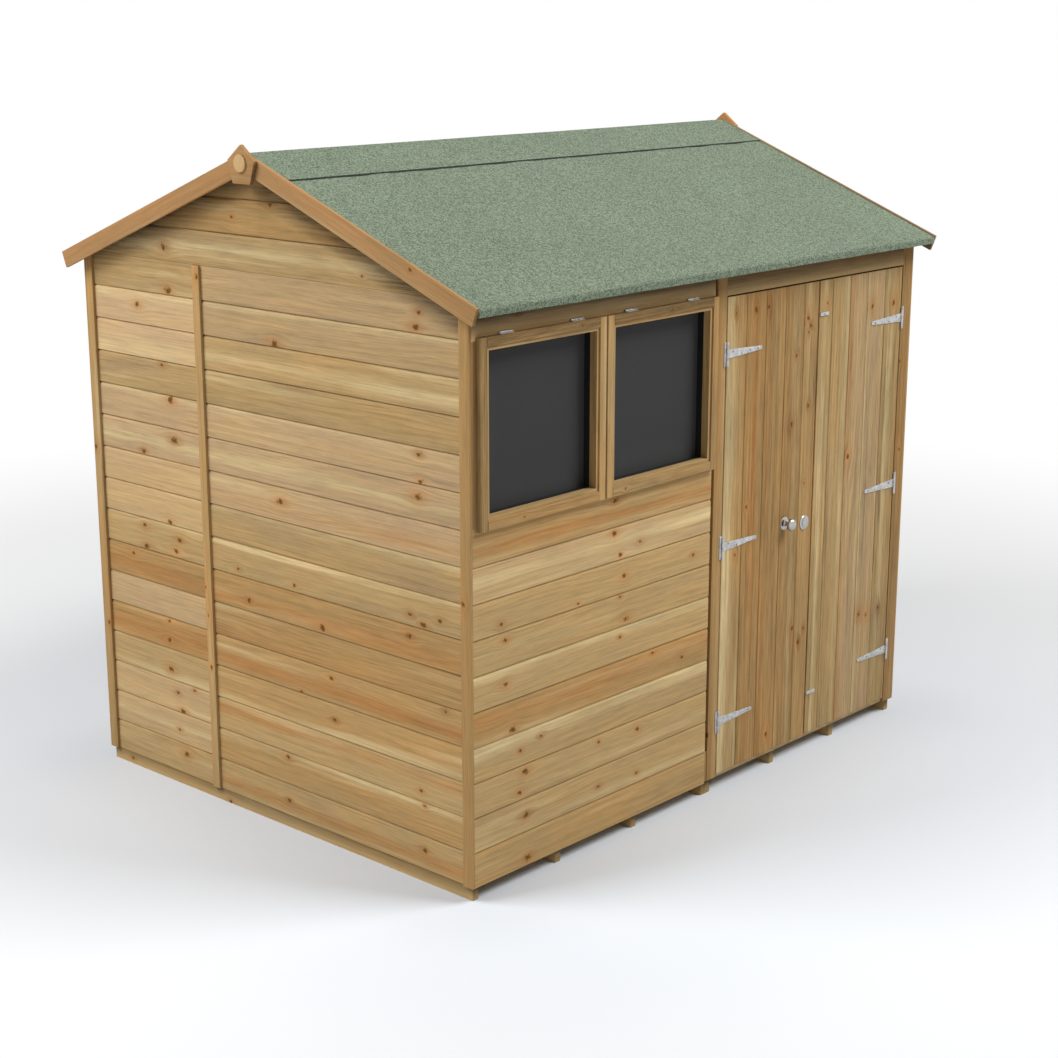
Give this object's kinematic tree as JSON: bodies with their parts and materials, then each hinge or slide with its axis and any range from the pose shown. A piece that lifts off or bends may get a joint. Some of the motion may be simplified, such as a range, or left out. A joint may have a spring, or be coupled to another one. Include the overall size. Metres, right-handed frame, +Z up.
{
  "type": "garden shed",
  "caption": "Wooden garden shed with a felted ridge roof, shiplap walls, hinged double doors and top-hung windows on its long side.",
  "frame": {"origin": "on the ground, under the middle of the shed", "axes": "+X along the front from the windows to the doors, +Y from the front to the back, +Z up"},
  "size_m": [2.518, 2.006, 2.2884],
  "materials": {
    "cladding_wood": "planed softwood, clear treated",
    "trim_wood": "planed softwood, clear treated",
    "barge_wood": "planed softwood, honey treated",
    "door_wood": "planed softwood, clear treated",
    "sash_wood": "planed softwood, clear treated",
    "frame_wood": "sawn softwood",
    "floor_wood": "board",
    "roof_felt": "mineral grit on bitumen felt",
    "window_seal": "matte black",
    "glazing": "clear, dark behind",
    "galvanised_steel": "galvanised",
    "bright_steel": "bright plated"
  },
  "bodies": {
    "shed": {"bearers_left": "frame_wood", "bearers_right": "frame_wood", "floor_left": "floor_wood", "floor_right": "floor_wood", "left_wall_panels": "cladding_wood", "right_wall_panels": "cladding_wood", "left_gable": "cladding_wood", "right_gable": "cladding_wood", "back_wall_panels": "cladding_wood", "corner_trims": "trim_wood", "cover_strips": "trim_wood", "front_window_panel": "cladding_wood", "window_posts": "trim_wood", "window_head": "cladding_wood", "left_sash": "sash_wood", "right_sash": "sash_wood", "window_seals": "window_seal", "window_panes": "glazing", "window_hinges": "galvanised_steel", "door_post_left": "trim_wood", "door_post_right": "trim_wood", "door_head": "trim_wood", "front_frame": "frame_wood", "back_frame": "frame_wood", "side_frames": "frame_wood", "front_roof_deck": "floor_wood", "back_roof_deck": "floor_wood", "front_felt": "roof_felt", "back_felt": "roof_felt", "ridge_cap": "roof_felt", "eaves_battens": "frame_wood", "left_bargeboards": "barge_wood", "right_bargeboards": "barge_wood", "finials": "barge_wood", "finial_discs": "trim_wood", "hinge_plates": "galvanised_steel"},
    "left_leaf": {"left_door": "door_wood", "left_door_ledges": "frame_wood", "left_hinge_straps": "galvanised_steel", "door_knob": "bright_steel", "door_escutcheon": "bright_steel"},
    "right_leaf": {"right_door": "door_wood", "right_door_ledges": "frame_wood", "right_hinge_straps": "galvanised_steel", "door_catches": "bright_steel"}
  },
  "joints": [
    {"name": "left_door_hinge", "type": "hinge", "parent": "shed", "child": "left_leaf", "pos_m": [0.04575, -0.9355, 0.9], "axis": [0, 0, -1], "range_deg": [0, 160]},
    {"name": "right_door_hinge", "type": "hinge", "parent": "shed", "child": "right_leaf", "pos_m": [1.13075, -0.9355, 0.9], "axis": [0, 0, 1], "range_deg": [0, 170]}
  ]
}
